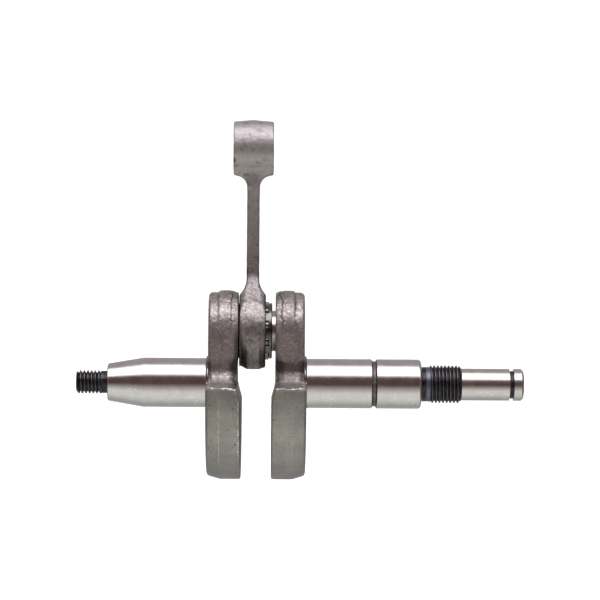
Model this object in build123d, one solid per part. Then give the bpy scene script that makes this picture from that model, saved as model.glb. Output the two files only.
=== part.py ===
"""Built-up crankshaft of a small two-stroke engine, with its connecting rod and big-end needle bearing.

Millimetres. The origin is on the main axis, halfway between the two webs. +X runs along the main axis to
the clutch end, +Z points from the main axis to the crank pin, with the rod standing straight up on it.
"""

import os
from math import cos, radians, sin, tan

from build123d import *

# Crank geometry
CRANK_THROW = 18.0  # main axis to crank pin axis, half of a 36 mm stroke
ROD_LENGTH = 63.0  # crank pin axis to piston pin axis
SMALL_END_HEIGHT = CRANK_THROW + ROD_LENGTH

# Webs: |x| positions are measured from the mid plane between them
WEB_INNER_FACE = 6.5
WEB_OUTER_FACE = 16.5
WEB_EYE_RADIUS = 13.8  # forged boss around the crank pin
WEB_TRIM_FACE = 12.7  # where the forging flash was trimmed
WEB_TRIM_STEP = 0.5  # step left in the outline by trimming
WEB_INNER_EDGE_RADIUS = 1.9
WEB_OUTER_EDGE_RADIUS = 1.4
WEB_SHOULDER_FILLET = 5.5  # between the side of the web and the counterweight

# Counterweights
WEIGHT_RADIUS = 33.1
WEIGHT_INNER_FACE = 5.2
WEIGHT_OUTER_FACE = 16.9
WEIGHT_CONE_START = 12.4  # the rim is turned to a cone outboard of this plane
WEIGHT_CONE_DROP = 1.3
WEIGHT_INNER_CHAMFER = 0.45
WEIGHT_CORNER_RADIUS = 1.3
SHOULDER_ROOT_HEIGHT = 0.0  # top of the counterweight beside the web
SHOULDER_RIM_HEIGHT = -0.8  # top of the counterweight at its rim
LEDGE_WIDTH = 1.7  # bevel along the inner top edge of the counterweight
LEDGE_DROP = 6.0

# Thrust land where each journal meets its web
LAND_RADIUS = 9.3
LAND_FACE = 17.1
LAND_FILLET = 0.6

# Journals and flywheel end, |x| from the mid plane
JOURNAL_DIAMETER = 17.0
TAPER_LARGE_END = 38.9
TAPER_SMALL_END = 51.2
TAPER_SMALL_DIAMETER = 12.8
TAPER_EDGE_RADIUS = 0.5
FLYWHEEL_NECK_DIAMETER = 7.7
FLYWHEEL_NECK_END = 53.4
FLYWHEEL_THREAD_DIAMETER = 8.0
FLYWHEEL_END = 62.0
THREAD_PITCH = 1.25
THREAD_END_CHAMFER = 0.7

# Keyway in the taper
KEY_WIDTH = 3.0
KEY_DEPTH = 1.5
KEY_START = 41.0
KEY_LENGTH = 8.0

# Clutch end
RING_GROOVE_CENTRE = 40.5
RING_GROOVE_SURFACE_WIDTH = 1.9
RING_GROOVE_FLOOR_WIDTH = 0.9
RING_GROOVE_DEPTH = 0.7
CLUTCH_JOURNAL_END = 56.75
CLUTCH_JOURNAL_EDGE_RADIUS = 1.3
CLUTCH_NECK_DIAMETER = 11.9
CLUTCH_THREAD_START = 59.75
CLUTCH_THREAD_END = 70.3
CLUTCH_THREAD_DIAMETER = 13.0
DRUM_JOURNAL_DIAMETER = 11.0
DRUM_JOURNAL_START = 70.8
CLIP_GROOVE_START = 87.1
CLIP_GROOVE_END = 88.6
CLIP_GROOVE_DIAMETER = 9.5
CLUTCH_END = 91.9
SHAFT_END_CHAMFER = 0.7

# Centre holes in both shaft ends
CENTRE_CONE_RADIUS = 1.5
CENTRE_CONE_DEPTH = 1.3
CENTRE_DRILL_RADIUS = 0.75
CENTRE_DRILL_DEPTH = 3.2

# Crank pin
PIN_DIAMETER = 14.0
PIN_END_CHAMFER = 0.6

# Connecting rod: x positions are measured from the mid plane between the webs
ROD_CENTRE_X = -1.45
BIG_END_WIDTH = 9.0
BIG_END_RADIUS = 13.3
BIG_END_EDGE_DROP = 0.8  # forging draft from the trimmed middle band to each side
BIG_END_BAND_WIDTH = 4.2
BIG_END_BORE = 20.0
SMALL_END_WIDTH = 13.8
SMALL_END_RADIUS = 9.65
SMALL_END_EDGE_DROP = 0.5
SMALL_END_BAND_WIDTH = 1.0
SMALL_END_BORE = 14.0
BORE_CHAMFER = 0.4
SHANK_THICKNESS = 4.3
SHANK_LOWER_WIDTH = 11.4
SHANK_UPPER_WIDTH = 10.6
FLARE_BOTTOM = 30.3  # full big-end width below this height
FLARE_TOP = 33.5  # shank thickness above this height, before the blend
FLARE_BLEND = 7.0
SMALL_SHOULDER_EDGE = 71.9  # full small-end width above this height
SMALL_SHOULDER_ROOT = 70.9
SMALL_SHOULDER_FILLET = 4.2
FLARE_ANGLE = 22.0  # side-view slope where the big end narrows into the shank
EYE_BLEND_LOWER = 8.0  # side-view fillet between the shank and that slope
EYE_BLEND_UPPER = 9.0  # side-view fillet between the shank and the small end
EYE_INSET = 0.9  # how far the blended plate stays inside the two eyes
SHANK_EDGE_RADIUS = 1.0
RECESS_DEPTH = 0.9
RECESS_RIM = 2.4
RECESS_BOTTOM = 38.5
RECESS_TOP = 66.0
RECESS_CORNER_RADIUS = 1.6

# Big-end needle bearing
NEEDLE_COUNT = 10
NEEDLE_START_ANGLE = 5.0
NEEDLE_DIAMETER = 2.98
NEEDLE_LENGTH = 9.2
NEEDLE_END_RADIUS = 0.25
PITCH_RADIUS = 8.5
CAGE_LEFT_FACE = -6.2
CAGE_RIGHT_FACE = 5.3
CAGE_OUTER_DIAMETER = 19.2
CAGE_INNER_DIAMETER = 14.6
CAGE_POCKET_LENGTH = 9.4
CAGE_POCKET_WIDTH = 3.04
CAGE_EDGE_CHAMFER = 0.25

# Thread form
THREAD_DEPTH_RATIO = 0.6134
THREAD_HALF_ANGLE = 30.0
GROOVE_OVERSHOOT = 0.1
FLYWHEEL_THREAD_START_ANGLE = 90.0
CLUTCH_THREAD_START_ANGLE = 180.0

JOURNAL_RADIUS = JOURNAL_DIAMETER / 2
WEIGHT_BURIAL = 1.0  # how far the web reaches down into the counterweight
EDGE_TOLERANCE = 0.02


def turned(points):
    """Solid of revolution about the main axis from (x, radius) corners; the axis closes the section."""
    section = make_face(Polyline(*points, close=True))
    return revolve(Plane.XZ * section, Axis.X)


def web_outline(shrink):
    """Upper web in the YZ plane: eye around the pin and straight sides down to the counterweight."""
    radius = WEB_EYE_RADIUS - shrink
    eye = Pos(0, CRANK_THROW) * Circle(radius)
    bottom = SHOULDER_RIM_HEIGHT - WEIGHT_BURIAL
    sides = Pos(0, (CRANK_THROW + bottom) / 2) * Rectangle(2 * radius, CRANK_THROW - bottom)
    return eye + sides


def web_foot(shrink):
    """Concave corners that carry the sides of the web out onto the shoulder of the counterweight."""
    side = WEB_EYE_RADIUS - shrink
    bottom = SHOULDER_RIM_HEIGHT - WEIGHT_BURIAL
    reach = side + WEB_SHOULDER_FILLET
    top = SHOULDER_ROOT_HEIGHT + WEB_SHOULDER_FILLET
    foot = Pos(0, (top + bottom) / 2) * Rectangle(2 * reach, top - bottom)
    for direction in (-1, 1):
        foot -= Pos(direction * reach, top) * Circle(WEB_SHOULDER_FILLET)
    return foot


def upper_web():
    """Forged upper web for the +X side, with the trim step in its outline and rounded long edges."""
    inner_outline = web_outline(0) + web_foot(0)
    outer_outline = web_outline(WEB_TRIM_STEP) + web_foot(WEB_TRIM_STEP)
    inner = Pos(WEB_INNER_FACE, 0, 0) * extrude(Plane.YZ * inner_outline, WEB_TRIM_FACE - WEB_INNER_FACE)
    outer = Pos(WEB_INNER_FACE, 0, 0) * extrude(Plane.YZ * outer_outline, WEB_OUTER_FACE - WEB_INNER_FACE)
    inner_edges = inner.faces().sort_by(Axis.X)[0].edges()
    inner = fillet([e for e in inner_edges if above_shoulder(e)], WEB_INNER_EDGE_RADIUS)
    outer_edges = outer.faces().sort_by(Axis.X)[-1].edges()
    outer = fillet([e for e in outer_edges if above_shoulder(e)], WEB_OUTER_EDGE_RADIUS)
    return inner + outer


def above_shoulder(edge):
    """True for the outline edges of the web that stay clear of the counterweight."""
    return edge.center().Z > SHOULDER_ROOT_HEIGHT


def counterweight():
    """Half disc below the shoulder for the +X side, with a turned conical rim and thrust land."""
    rim_edge = WEIGHT_RADIUS - WEIGHT_CONE_DROP
    disc = turned(
        [
            (WEIGHT_INNER_FACE, 0),
            (WEIGHT_INNER_FACE, WEIGHT_RADIUS - WEIGHT_INNER_CHAMFER),
            (WEIGHT_INNER_FACE + WEIGHT_INNER_CHAMFER, WEIGHT_RADIUS),
            (WEIGHT_CONE_START, WEIGHT_RADIUS),
            (WEIGHT_OUTER_FACE, rim_edge),
            (WEIGHT_OUTER_FACE, 0),
        ]
    )
    corner = disc.faces().sort_by(Axis.X)[-1].edges()
    disc = fillet(corner, WEIGHT_CORNER_RADIUS)
    side = WEB_EYE_RADIUS + WEB_SHOULDER_FILLET
    below = make_face(
        Polyline(
            (-WEIGHT_RADIUS, SHOULDER_RIM_HEIGHT),
            (-side, SHOULDER_ROOT_HEIGHT),
            (side, SHOULDER_ROOT_HEIGHT),
            (WEIGHT_RADIUS, SHOULDER_RIM_HEIGHT),
            (WEIGHT_RADIUS, -WEIGHT_RADIUS),
            (-WEIGHT_RADIUS, -WEIGHT_RADIUS),
            close=True,
        )
    )
    bevel = make_face(
        Polyline(
            (WEIGHT_INNER_FACE - LEDGE_WIDTH, SHOULDER_ROOT_HEIGHT),
            (WEIGHT_INNER_FACE + LEDGE_WIDTH, SHOULDER_ROOT_HEIGHT),
            (WEIGHT_INNER_FACE - LEDGE_WIDTH, SHOULDER_ROOT_HEIGHT - 2 * LEDGE_DROP),
            close=True,
        )
    )
    half_disc = disc & extrude(Plane.YZ * below, 2 * WEIGHT_OUTER_FACE)
    return half_disc - extrude(Plane.XZ * bevel, 2 * WEIGHT_RADIUS, both=True)


def thread_groove(diameter, length):
    """Left-hand helical V groove of an external metric thread about Z."""
    depth = THREAD_DEPTH_RATIO * THREAD_PITCH
    flank = tan(radians(THREAD_HALF_ANGLE))
    root = THREAD_PITCH / 8
    top = root + (depth + GROOVE_OVERSHOOT) * flank
    helix = Helix(THREAD_PITCH, length, diameter / 2, lefthand=True)
    section = make_face(
        Polyline(
            (-depth, -root),
            (GROOVE_OVERSHOOT, -top),
            (GROOVE_OVERSHOOT, top),
            (-depth, root),
            close=True,
        )
    )
    plane = Plane(origin=helix @ 0, x_dir=(1, 0, 0), z_dir=helix % 0)
    return sweep(plane * section, path=helix, is_frenet=True)


def threaded_stub(diameter, start, end, neck_start, neck_diameter, start_angle):
    """Left-hand threaded length of a shaft along +X with its relieved neck on the web side."""
    length = end - start
    stub = Cylinder(diameter / 2, length, align=(Align.CENTER, Align.CENTER, Align.MIN))
    stub = chamfer(stub.edges().sort_by(Axis.Z)[-1], THREAD_END_CHAMFER)
    stub -= Rot(0, 0, start_angle) * thread_groove(diameter, length + THREAD_PITCH)
    neck_length = start - neck_start
    neck = Pos(0, 0, -neck_length) * Cylinder(
        neck_diameter / 2, neck_length, align=(Align.CENTER, Align.CENTER, Align.MIN)
    )
    return Pos(start, 0, 0) * Rot(0, 90, 0) * (stub + neck)


def centre_hole(end):
    """Lathe centre in a shaft end that faces +X."""
    return turned(
        [
            (end + CENTRE_CONE_DEPTH, 0),
            (end + CENTRE_CONE_DEPTH, 2 * CENTRE_CONE_RADIUS),
            (end, CENTRE_CONE_RADIUS),
            (end - CENTRE_CONE_DEPTH, CENTRE_DRILL_RADIUS),
            (end - CENTRE_DRILL_DEPTH, CENTRE_DRILL_RADIUS),
            (end - CENTRE_DRILL_DEPTH, 0),
        ]
    )


def thrust_land():
    """Turned land around the journal on the outer face of a +X web."""
    return turned(
        [
            (WEB_INNER_FACE, 0),
            (WEB_INNER_FACE, LAND_RADIUS),
            (LAND_FACE, LAND_RADIUS),
            (LAND_FACE, 0),
        ]
    )


def web_half():
    """Forged web and counterweight of the +X side with the press-fit hole for the crank pin."""
    half = upper_web() + counterweight() + thrust_land()
    hole = Pos(0, 0, CRANK_THROW) * Rot(0, 90, 0) * Cylinder(PIN_DIAMETER / 2, 4 * WEB_OUTER_FACE)
    return half - hole


def flywheel_shaft():
    """Journal, key taper and threaded stub, drawn towards +X; the mirrored copy has a right-hand thread."""
    shaft = turned(
        [
            (WEB_INNER_FACE, 0),
            (WEB_INNER_FACE, JOURNAL_RADIUS),
            (TAPER_LARGE_END, JOURNAL_RADIUS),
            (TAPER_SMALL_END, TAPER_SMALL_DIAMETER / 2),
            (TAPER_SMALL_END, 0),
        ]
    )
    rim = shaft.faces().sort_by(Axis.X)[-1].edges()
    shaft = fillet(rim, TAPER_EDGE_RADIUS)
    stub = threaded_stub(
        FLYWHEEL_THREAD_DIAMETER,
        FLYWHEEL_NECK_END,
        FLYWHEEL_END,
        TAPER_SMALL_END,
        FLYWHEEL_NECK_DIAMETER,
        FLYWHEEL_THREAD_START_ANGLE,
    )
    shaft = shaft + stub
    middle = KEY_START + KEY_LENGTH / 2
    slope = (JOURNAL_RADIUS - TAPER_SMALL_DIAMETER / 2) / (TAPER_SMALL_END - TAPER_LARGE_END)
    surface = JOURNAL_RADIUS - slope * (middle - TAPER_LARGE_END)
    slot = SlotOverall(KEY_LENGTH, KEY_WIDTH)
    cutter = extrude(Plane.XZ * slot, -2 * KEY_DEPTH)
    shaft -= Pos(middle, surface - KEY_DEPTH, 0) * cutter
    return shaft - centre_hole(FLYWHEEL_END)


def clutch_shaft():
    """Journal with ring groove, threaded length and clutch drum journal, drawn towards +X."""
    groove_flare = RING_GROOVE_SURFACE_WIDTH / 2
    groove_floor = RING_GROOVE_FLOOR_WIDTH / 2
    journal = turned(
        [
            (WEB_INNER_FACE, 0),
            (WEB_INNER_FACE, JOURNAL_RADIUS),
            (RING_GROOVE_CENTRE - groove_flare, JOURNAL_RADIUS),
            (RING_GROOVE_CENTRE - groove_floor, JOURNAL_RADIUS - RING_GROOVE_DEPTH),
            (RING_GROOVE_CENTRE + groove_floor, JOURNAL_RADIUS - RING_GROOVE_DEPTH),
            (RING_GROOVE_CENTRE + groove_flare, JOURNAL_RADIUS),
            (CLUTCH_JOURNAL_END, JOURNAL_RADIUS),
            (CLUTCH_JOURNAL_END, 0),
        ]
    )
    rim = journal.faces().sort_by(Axis.X)[-1].edges()
    journal = fillet(rim, CLUTCH_JOURNAL_EDGE_RADIUS)
    stub = threaded_stub(
        CLUTCH_THREAD_DIAMETER,
        CLUTCH_THREAD_START,
        CLUTCH_THREAD_END,
        CLUTCH_JOURNAL_END,
        CLUTCH_NECK_DIAMETER,
        CLUTCH_THREAD_START_ANGLE,
    )
    drum_radius = DRUM_JOURNAL_DIAMETER / 2
    clip_radius = CLIP_GROOVE_DIAMETER / 2
    drum = turned(
        [
            (CLUTCH_THREAD_END, 0),
            (CLUTCH_THREAD_END, drum_radius),
            (CLIP_GROOVE_START, drum_radius),
            (CLIP_GROOVE_START, clip_radius),
            (CLIP_GROOVE_END, clip_radius),
            (CLIP_GROOVE_END, drum_radius),
            (CLUTCH_END - SHAFT_END_CHAMFER, drum_radius),
            (CLUTCH_END, drum_radius - SHAFT_END_CHAMFER),
            (CLUTCH_END, 0),
        ]
    )
    return journal + stub + drum - centre_hole(CLUTCH_END)


def journal_fillet():
    """Concave ring that runs the journal into the thrust land."""
    ring = turned(
        [
            (WEB_OUTER_FACE, JOURNAL_RADIUS - LAND_FILLET),
            (WEB_OUTER_FACE, JOURNAL_RADIUS + LAND_FILLET),
            (LAND_FACE, JOURNAL_RADIUS + LAND_FILLET),
            (LAND_FACE + LAND_FILLET, JOURNAL_RADIUS),
            (LAND_FACE + LAND_FILLET, JOURNAL_RADIUS - LAND_FILLET),
        ]
    )
    return ring


def crank_half(shaft):
    """One crank half drawn on the +X side."""
    return web_half() + shaft + journal_fillet()


def crank_pin():
    """Plain pin pressed into both webs, flush with their outer faces."""
    pin = Cylinder(PIN_DIAMETER / 2, 2 * WEB_OUTER_FACE)
    pin = chamfer(pin.edges().filter_by(GeomType.CIRCLE), PIN_END_CHAMFER)
    return Pos(0, 0, CRANK_THROW) * Rot(0, 90, 0) * pin


def barrel_ring(height, width, radius, drop, band):
    """Solid eye of the rod about an X axis, full radius over the band and drafted down to each side."""
    blank = turned(
        [
            (-width / 2, 0),
            (-width / 2, radius - drop),
            (-band / 2, radius),
            (band / 2, radius),
            (width / 2, radius - drop),
            (width / 2, 0),
        ]
    )
    return Pos(ROD_CENTRE_X, 0, height) * blank


def rod_side_view():
    """Plate outline of the rod in the YZ plane: both eyes, the shank and the blends between them."""
    lower, upper = SHANK_LOWER_WIDTH / 2, SHANK_UPPER_WIDTH / 2
    taper = make_face(
        Polyline(
            (-lower, CRANK_THROW),
            (lower, CRANK_THROW),
            (upper, SMALL_END_HEIGHT),
            (-upper, SMALL_END_HEIGHT),
            close=True,
        )
    )
    big = Pos(0, CRANK_THROW) * Circle(BIG_END_RADIUS - EYE_INSET)
    small = Pos(0, SMALL_END_HEIGHT) * Circle(SMALL_END_RADIUS - EYE_INSET)
    outline = taper + big + small + flare_wedge()
    middle = (CRANK_THROW + SMALL_END_HEIGHT) / 2
    lower_corners = [v for v in outline.vertices() if CRANK_THROW + BIG_END_RADIUS < v.Y < middle]
    outline = fillet(lower_corners, EYE_BLEND_LOWER)
    upper_corners = [v for v in outline.vertices() if v.Y > SMALL_END_HEIGHT - 2 * SMALL_END_RADIUS]
    upper_corners = [v for v in upper_corners if abs(v.X) > upper - EYE_INSET]
    return fillet(upper_corners, EYE_BLEND_UPPER)


def flare_wedge():
    """Wedge that leaves the big end along its tangents and narrows up to the shank, in the YZ plane."""
    slope = radians(FLARE_ANGLE)
    radius = BIG_END_RADIUS - EYE_INSET
    foot, foot_height = radius * cos(slope), CRANK_THROW + radius * sin(slope)
    tip = SHANK_UPPER_WIDTH / 2
    tip_height = foot_height + (foot - tip) / tan(slope)
    return make_face(
        Polyline((-foot, foot_height), (foot, foot_height), (tip, tip_height), (-tip, tip_height), close=True)
    )


def rod_front_view():
    """Silhouette of the rod in the XZ plane, about its own middle plane."""
    half = SHANK_THICKNESS / 2
    big = BIG_END_WIDTH / 2
    small = SMALL_END_WIDTH / 2
    right_edge = [
        (big, CRANK_THROW - BIG_END_RADIUS),
        (big, FLARE_BOTTOM),
        (half, FLARE_TOP),
        (half, SMALL_SHOULDER_ROOT),
        (small, SMALL_SHOULDER_EDGE),
        (small, SMALL_END_HEIGHT + SMALL_END_RADIUS),
    ]
    left_edge = [(-x, z) for x, z in reversed(right_edge)]
    outline = make_face(Polyline(*right_edge, *left_edge, close=True))
    inner_corners = [v for v in outline.vertices() if abs(abs(v.X) - half) < EDGE_TOLERANCE]
    outline = fillet([v for v in inner_corners if v.Y < FLARE_TOP + EDGE_TOLERANCE], FLARE_BLEND)
    inner_corners = [v for v in outline.vertices() if abs(v.Y - SMALL_SHOULDER_ROOT) < EDGE_TOLERANCE]
    return fillet(inner_corners, SMALL_SHOULDER_FILLET)


def rod_plate():
    """Forged plate of the rod: the side view and the front view carried through each other."""
    plate = extrude(Plane.XZ * rod_front_view(), 2 * BIG_END_RADIUS, both=True)
    plate &= extrude(Plane.YZ * rod_side_view(), SMALL_END_WIDTH, both=True)
    long_edges = [edge for edge in plate.edges() if is_long_edge(edge)]
    return Pos(ROD_CENTRE_X, 0, 0) * fillet(long_edges, SHANK_EDGE_RADIUS)


def is_long_edge(edge):
    """True for the edges that run up the front and back of the plate from one eye to the other."""
    middle = edge @ 0.5
    between_eyes = CRANK_THROW + BIG_END_BORE / 3 < middle.Z < SMALL_SHOULDER_EDGE
    climbs = edge.bounding_box().size.Z > SHANK_EDGE_RADIUS / 3
    return between_eyes and climbs and abs(middle.Y) > SHANK_UPPER_WIDTH / 4


def shank_half_width(height):
    """Half the front-to-back width of the shank at a height."""
    share = (height - CRANK_THROW) / ROD_LENGTH
    return (SHANK_LOWER_WIDTH + share * (SHANK_UPPER_WIDTH - SHANK_LOWER_WIDTH)) / 2


def shank_recess():
    """Pocket of the I section, drawn on the +X face of the shank."""
    low = shank_half_width(RECESS_BOTTOM) - RECESS_RIM
    high = shank_half_width(RECESS_TOP) - RECESS_RIM
    outline = make_face(
        Polyline(
            (-low, RECESS_BOTTOM), (low, RECESS_BOTTOM), (high, RECESS_TOP), (-high, RECESS_TOP), close=True
        )
    )
    outline = fillet(outline.vertices(), RECESS_CORNER_RADIUS)
    floor = SHANK_THICKNESS / 2 - RECESS_DEPTH
    return Pos(ROD_CENTRE_X + floor, 0, 0) * extrude(Plane.YZ * outline, SHANK_THICKNESS)


def connecting_rod():
    """One forging: big end, I-section shank and small end, bored for the two bearings."""
    rod = barrel_ring(CRANK_THROW, BIG_END_WIDTH, BIG_END_RADIUS, BIG_END_EDGE_DROP, BIG_END_BAND_WIDTH)
    rod += barrel_ring(
        SMALL_END_HEIGHT, SMALL_END_WIDTH, SMALL_END_RADIUS, SMALL_END_EDGE_DROP, SMALL_END_BAND_WIDTH
    )
    rod += rod_plate()
    pocket = shank_recess()
    rod -= pocket
    rod -= mirror_about_rod(pocket)
    for height, bore, width in (
        (CRANK_THROW, BIG_END_BORE, BIG_END_WIDTH),
        (SMALL_END_HEIGHT, SMALL_END_BORE, SMALL_END_WIDTH),
    ):
        rod -= chamfered_bore(height, bore / 2, width / 2)
    return rod


def mirror_about_rod(solid):
    """Mirror image of a solid in the middle plane of the rod."""
    return Pos(2 * ROD_CENTRE_X, 0, 0) * mirror(solid, Plane.YZ)


def chamfered_bore(height, radius, half_width):
    """Through bore of the rod along X with a chamfer at both faces."""
    bore = turned(
        [
            (-half_width - BORE_CHAMFER, 0),
            (-half_width - BORE_CHAMFER, radius + 2 * BORE_CHAMFER),
            (-half_width + BORE_CHAMFER, radius),
            (half_width - BORE_CHAMFER, radius),
            (half_width + BORE_CHAMFER, radius + 2 * BORE_CHAMFER),
            (half_width + BORE_CHAMFER, 0),
        ]
    )
    return Pos(ROD_CENTRE_X, 0, height) * bore


def big_end_cage():
    """Machined needle cage with one pocket per needle."""
    width = CAGE_RIGHT_FACE - CAGE_LEFT_FACE
    ring = Cylinder(CAGE_OUTER_DIAMETER / 2, width)
    ring = chamfer(ring.edges().filter_by(GeomType.CIRCLE), CAGE_EDGE_CHAMFER)
    ring -= Cylinder(CAGE_INNER_DIAMETER / 2, 2 * width)
    pocket = Box(PITCH_RADIUS / 2, CAGE_POCKET_WIDTH, CAGE_POCKET_LENGTH)
    for index in range(NEEDLE_COUNT):
        ring -= Rot(0, 0, needle_angle(index)) * Pos(PITCH_RADIUS, 0, 0) * pocket
    middle = (CAGE_RIGHT_FACE + CAGE_LEFT_FACE) / 2
    return Pos(middle, 0, CRANK_THROW) * Rot(0, 90, 0) * ring


def needle_angle(index):
    """Angle of a needle about the crank pin, in degrees."""
    return NEEDLE_START_ANGLE + index * 360 / NEEDLE_COUNT


def needle(index):
    """One roller on the pitch circle with rounded ends."""
    roller = Cylinder(NEEDLE_DIAMETER / 2, NEEDLE_LENGTH)
    roller = fillet(roller.edges().filter_by(GeomType.CIRCLE), NEEDLE_END_RADIUS)
    middle = (CAGE_RIGHT_FACE + CAGE_LEFT_FACE) / 2
    placed = Rot(0, 0, needle_angle(index)) * Pos(PITCH_RADIUS, 0, 0) * roller
    return Pos(middle, 0, CRANK_THROW) * Rot(0, 90, 0) * placed


def build():
    """All pieces by name."""
    pieces = {
        "flywheel_crank_half": mirror(crank_half(flywheel_shaft()), Plane.YZ),
        "clutch_crank_half": crank_half(clutch_shaft()),
        "crank_pin": crank_pin(),
        "connecting_rod": connecting_rod(),
        "big_end_cage": big_end_cage(),
    }
    for index in range(NEEDLE_COUNT):
        pieces[f"needle_{index + 1:02d}"] = needle(index)
    return pieces


os.makedirs("parts", exist_ok=True)
for name, solid in build().items():
    export_step(solid, f"parts/{name}.step")
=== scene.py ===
"""Looks of the built-up crankshaft: ground journals, blackened threads, forged webs, blasted rod."""

import math

import bmesh
import bpy
import numpy as np
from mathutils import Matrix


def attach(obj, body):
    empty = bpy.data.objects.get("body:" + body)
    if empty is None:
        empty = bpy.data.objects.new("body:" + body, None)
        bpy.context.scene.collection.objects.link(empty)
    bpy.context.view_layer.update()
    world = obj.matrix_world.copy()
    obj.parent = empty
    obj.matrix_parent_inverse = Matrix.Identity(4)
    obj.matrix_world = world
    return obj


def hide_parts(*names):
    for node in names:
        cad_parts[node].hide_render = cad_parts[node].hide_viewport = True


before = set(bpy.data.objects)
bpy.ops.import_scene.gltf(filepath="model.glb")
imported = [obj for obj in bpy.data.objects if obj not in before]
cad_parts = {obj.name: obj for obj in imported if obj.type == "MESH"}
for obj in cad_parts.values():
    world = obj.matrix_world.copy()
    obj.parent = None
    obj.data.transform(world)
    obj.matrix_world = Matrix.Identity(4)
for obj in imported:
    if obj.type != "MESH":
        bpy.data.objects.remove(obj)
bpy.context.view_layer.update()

MM = 0.001

# Sizes shared with the solid model, in millimetres
THROW = 18.0
JOURNAL_R = 8.5
LAND_R = 8.9
LAND_FACE = 17.1
ROOT_ROUND = 0.55
WEB_FACE_IN = 6.5
WEB_FACE_OUT = 16.5
WEIGHT_R = 33.1
WEIGHT_FACE_IN = 5.2
WEIGHT_FACE_OUT = 16.9
CONE_START = 12.4
LEDGE_WIDTH = 1.7
LEDGE_DROP = 6.0
SHOULDER_Z = -0.8
ROD_X = -1.45
SMALL_END_Z = 81.0
PITCH = 1.25
THREAD_DEPTH = 0.767
EDGE_ROUND = 0.1
RING_GROOVE = 40.5
RING_GROOVE_R = 7.8
JOURNAL_END = 56.75
NECK_R = 5.95
THREAD_START = 59.75
THREAD_END = 70.4
THREAD_R = 6.5
DRUM_START = 70.6
DRUM_R = 5.5
CLIP_START = 87.1
CLIP_END = 88.6
CLIP_R = 4.75
CLUTCH_END = 91.9
TAPER_START = 38.9
TAPER_END = 51.2
TAPER_END_R = 6.4
STUB_START = 53.4
STUB_R = 4.0
STUB_NECK_R = 3.85
FLYWHEEL_END = 62.0
KEY_LENGTH = 8.0
KEY_WIDTH = 3.0
KEY_MIDDLE = 45.0
KEY_FLOOR = 5.96


# ---------------------------------------------------------------- noise fields


class Perlin:
    """Gradient noise on arrays of points, the same on every run."""

    def __init__(self, seed):
        rng = np.random.default_rng(seed)
        self.order = np.tile(rng.permutation(256), 2)
        grads = rng.normal(size=(256, 3))
        self.grads = grads / np.linalg.norm(grads, axis=1)[:, None]

    def __call__(self, points):
        cell = np.floor(points).astype(int)
        part = points - cell
        fade = part * part * part * (part * (part * 6 - 15) + 10)
        total = np.zeros(len(points))
        for corner in np.ndindex(2, 2, 2):
            c = np.array(corner)
            h = (cell + c) & 255
            index = self.order[self.order[self.order[h[:, 0]] + h[:, 1]] + h[:, 2]]
            dots = np.einsum("ij,ij->i", self.grads[index], part - c)
            weight = np.prod(np.where(c == 1, fade, 1 - fade), axis=1)
            total += weight * dots
        return total


def fractal(points, size, seed, octaves=3):
    """Noise of several octaves; size is the largest feature in the points' unit."""
    total, gain = np.zeros(len(points)), 1.0
    for octave in range(octaves):
        total += gain * Perlin(seed + octave)(points / size * 2**octave)
        gain *= 0.5
    return total


def step(low, high, value):
    """Smooth step from 0 at low to 1 at high."""
    t = np.clip((value - low) / (high - low), 0, 1)
    return t * t * (3 - 2 * t)


# ---------------------------------------------------------------- mesh helpers


def new_object(name, mesh, body, *nodes):
    """Adds a piece that rides on a body and stands for CAD nodes."""
    piece = bpy.data.objects.new(name, mesh)
    bpy.context.scene.collection.objects.link(piece)
    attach(piece, body)
    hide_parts(*nodes)
    return piece


def corner_arc(before, corner, after, radius, steps=6):
    """Points of a round of that radius on the corner between two others, all as (x, r)."""
    b, c, a = (np.array(p, float) for p in (before, corner, after))
    u, v = (b - c) / np.linalg.norm(b - c), (a - c) / np.linalg.norm(a - c)
    half = math.acos(np.clip(u @ v, -1, 1)) / 2
    reach = radius / math.tan(half)
    centre = c + (u + v) / np.linalg.norm(u + v) * radius / math.sin(half)
    start, end = c + u * reach - centre, c + v * reach - centre
    angle = math.acos(np.clip(start @ end / radius**2, -1, 1))
    arc = []
    for k in range(steps + 1):
        t = k / steps
        p = (math.sin((1 - t) * angle) * start + math.sin(t * angle) * end) / math.sin(angle)
        arc.append(tuple(centre + p))
    return arc


def rounded(profile):
    """Profile of (x, r, radius) corners as plain (x, r) points, with each round drawn out."""
    out = [profile[0][:2]]
    for k in range(1, len(profile) - 1):
        before, (x, r, radius), after = profile[k - 1], profile[k], profile[k + 1]
        if radius > 0:
            out += corner_arc(before[:2], (x, r), after[:2], radius)
        else:
            out.append((x, r))
    out.append(profile[-1][:2])
    return out


def divided(points, low, high, pitch):
    """The points with extra ones every pitch between x low and high."""
    out = [points[0]]
    for (x0, r0), (x1, r1) in zip(points, points[1:]):
        inside = min(x0, x1) >= low - 1e-6 and max(x0, x1) <= high + 1e-6
        count = max(1, round(abs(x1 - x0) / pitch)) if inside else 1
        out += [(x0 + (x1 - x0) * k / count, r0 + (r1 - r0) * k / count) for k in range(1, count + 1)]
    return out


def thread_radius(x, angle, start, end, major, hand):
    """Radius of a thread's surface at x along the shaft and an angle about it."""
    turn = ((x - start) / PITCH + hand * angle / (2 * math.pi)) % 1.0
    away = np.abs(turn - 0.5)
    flank = np.clip((away - 0.07) / (0.37 - 0.07), 0, 1)
    shape = 1 - (0.85 * flank + 0.15 * flank * flank * (3 - 2 * flank))
    runout = step(start - 0.2, start + 0.4 * PITCH, x)
    return major / 2 - THREAD_DEPTH * shape * runout


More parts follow.
